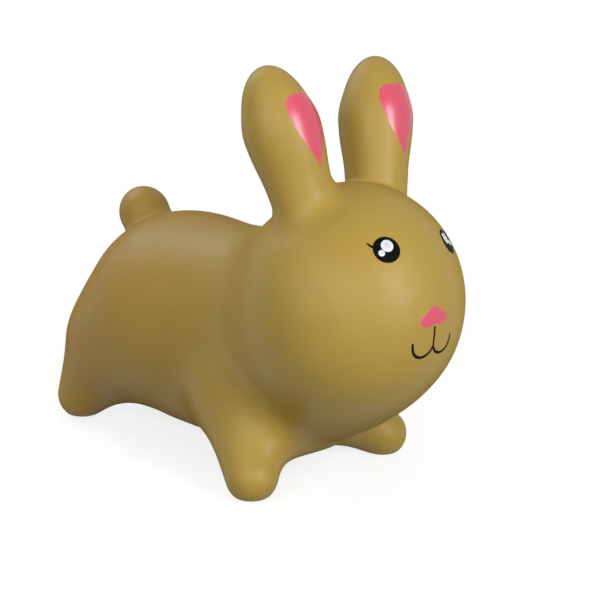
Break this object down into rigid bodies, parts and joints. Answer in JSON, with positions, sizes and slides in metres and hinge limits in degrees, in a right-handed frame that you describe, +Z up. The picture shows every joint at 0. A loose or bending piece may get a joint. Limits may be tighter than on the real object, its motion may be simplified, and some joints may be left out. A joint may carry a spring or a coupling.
{
  "type": "inflatable animal hopper",
  "caption": "Inflatable rabbit-shaped hopper: a hollow vinyl body to sit on, upright ears to hold, stubby legs with flat soles, a bob tail and an air valve with a push-in plug.",
  "frame": {"origin": "on the floor, at the middle of the object's width and length", "axes": "+Z up, -Y the way the rabbit faces, +X the rabbit's left"},
  "size_m": [0.2496, 0.5303, 0.4497],
  "materials": {
    "skin": "satin soft vinyl, tan",
    "valve_seat": "satin soft vinyl",
    "valve_stopper": "moulded",
    "paint_black": "sprayed gloss paint",
    "paint_white": "sprayed gloss paint",
    "paint_pink": "sprayed gloss paint"
  },
  "bodies": {
    "body": {"torso": "skin", "head": "skin", "front_leg_left": "skin", "front_leg_right": "skin", "rear_leg_left": "skin", "rear_leg_right": "skin", "tail": "skin", "valve_grommet": "valve_seat", "eye_left": "paint_black", "eye_right": "paint_black", "mouth": "paint_black", "eye_glint_large_left": "paint_white", "eye_glint_large_right": "paint_white", "eye_glint_small_left": "paint_white", "eye_glint_small_right": "paint_white", "nose": "paint_pink"},
    "left_ear": {"ear_left": "skin", "ear_heart_left": "paint_pink"},
    "right_ear": {"ear_right": "skin", "ear_heart_right": "paint_pink"},
    "valve_stopper": {"valve_plug": "valve_stopper"}
  },
  "joints": [
    {"name": "left_ear_bend", "type": "hinge", "parent": "body", "child": "left_ear", "pos_m": [0.05233, -0.12854, 0.32328], "axis": [1, 0, 0], "range_deg": [-20, 20], "stiffness_Nm_per_rad": 3},
    {"name": "right_ear_bend", "type": "hinge", "parent": "body", "child": "right_ear", "pos_m": [-0.05233, -0.12854, 0.32328], "axis": [1, 0, 0], "range_deg": [-20, 20], "stiffness_Nm_per_rad": 3},
    {"name": "valve_plug_pull", "type": "slide", "parent": "body", "child": "valve_stopper", "axis": [0, 0.9506, 0.3105], "range_m": [0, 0.02]}
  ]
}
